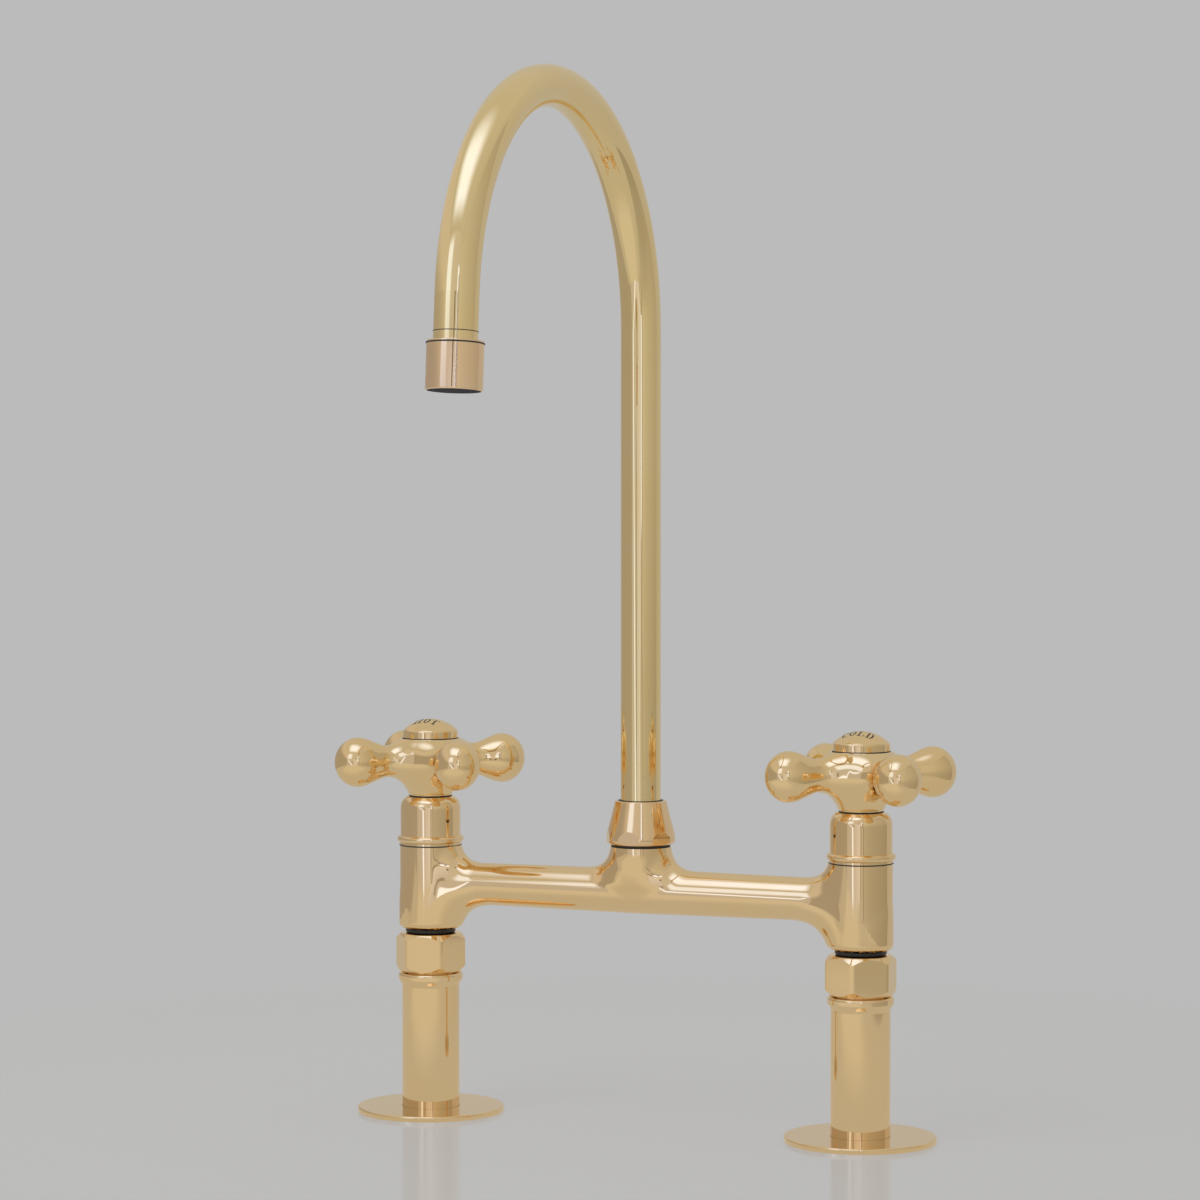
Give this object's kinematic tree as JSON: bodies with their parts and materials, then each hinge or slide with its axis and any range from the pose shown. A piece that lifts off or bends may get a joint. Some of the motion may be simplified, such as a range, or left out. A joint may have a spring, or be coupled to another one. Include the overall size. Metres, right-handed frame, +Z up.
{
  "type": "bridge kitchen faucet",
  "caption": "Deck-standing bridge faucet with cross handles on quarter-turn valves and a tall swan-neck swivel spout with aerator.",
  "frame": {"origin": "on the deck, midway between the two pillar legs", "axes": "+Z up out of the deck; X along the bridge, hot side at -X and cold side at +X; the spout points along -Y"},
  "size_m": [0.268, 0.2384, 0.4478],
  "materials": {
    "polished_brass": "mirror polished, unlacquered",
    "handle_brass": "mirror polished, unlacquered",
    "nut_brass": "polished, a little softer than the body",
    "spout_brass": "mirror polished drawn tube",
    "aerator_brass": "polished, slightly copper in tone",
    "machined_brass": "as machined, unpolished",
    "black_rubber": "moulded, matt",
    "fibre": "pressed red fibre",
    "ceramic": "lapped alumina",
    "stainless_steel": "bright stainless steel",
    "steel_mesh": "fine dark woven mesh",
    "white_plastic": "low-friction plastic",
    "grey_plastic": "moulded grey plastic"
  },
  "bodies": {
    "bridge": {"bridge_body": "polished_brass", "gland_ring": "black_rubber", "gland_nut": "nut_brass", "thrust_rings": "white_plastic", "spout_wiper": "black_rubber", "hot_deck_flange": "polished_brass", "hot_pillar_leg": "polished_brass", "hot_union_nut": "polished_brass", "hot_union_tail": "machined_brass", "hot_tail_washer": "fibre", "hot_leg_seal": "black_rubber", "hot_bonnet": "polished_brass", "hot_cartridge_body": "machined_brass", "hot_cartridge_gasket": "black_rubber", "hot_fixed_disc": "ceramic", "cold_deck_flange": "polished_brass", "cold_pillar_leg": "polished_brass", "cold_union_nut": "polished_brass", "cold_union_tail": "machined_brass", "cold_tail_washer": "fibre", "cold_leg_seal": "black_rubber", "cold_bonnet": "polished_brass", "cold_cartridge_body": "machined_brass", "cold_cartridge_gasket": "black_rubber", "cold_fixed_disc": "ceramic"},
    "hot_handle": {"hot_moving_disc": "ceramic", "hot_valve_spindle": "machined_brass", "hot_spindle_seal": "black_rubber", "hot_spindle_clip": "stainless_steel", "hot_cross_handle": "handle_brass", "hot_handle_screw": "stainless_steel", "hot_index_cap": "handle_brass"},
    "cold_handle": {"cold_moving_disc": "ceramic", "cold_valve_spindle": "machined_brass", "cold_spindle_seal": "black_rubber", "cold_spindle_clip": "stainless_steel", "cold_cross_handle": "handle_brass", "cold_handle_screw": "stainless_steel", "cold_index_cap": "handle_brass"},
    "spout": {"spout_spigot": "machined_brass", "spout_seals": "black_rubber", "spout_tube": "spout_brass", "spout_end": "spout_brass", "aerator_housing": "aerator_brass", "aerator_washer": "black_rubber", "aerator_insert": "grey_plastic", "aerator_screen": "steel_mesh"}
  },
  "joints": [
    {"name": "hot_handle_turn", "type": "hinge", "parent": "bridge", "child": "hot_handle", "pos_m": [-0.1, 0, 0.14], "axis": [0, 0, 1], "range_deg": [0, 90]},
    {"name": "cold_handle_turn", "type": "hinge", "parent": "bridge", "child": "cold_handle", "pos_m": [0.1, 0, 0.14], "axis": [0, 0, -1], "range_deg": [0, 90]},
    {"name": "spout_swivel", "type": "hinge", "parent": "bridge", "child": "spout", "pos_m": [0, 0, 0.13], "axis": [0, 0, 1], "continuous": true}
  ]
}
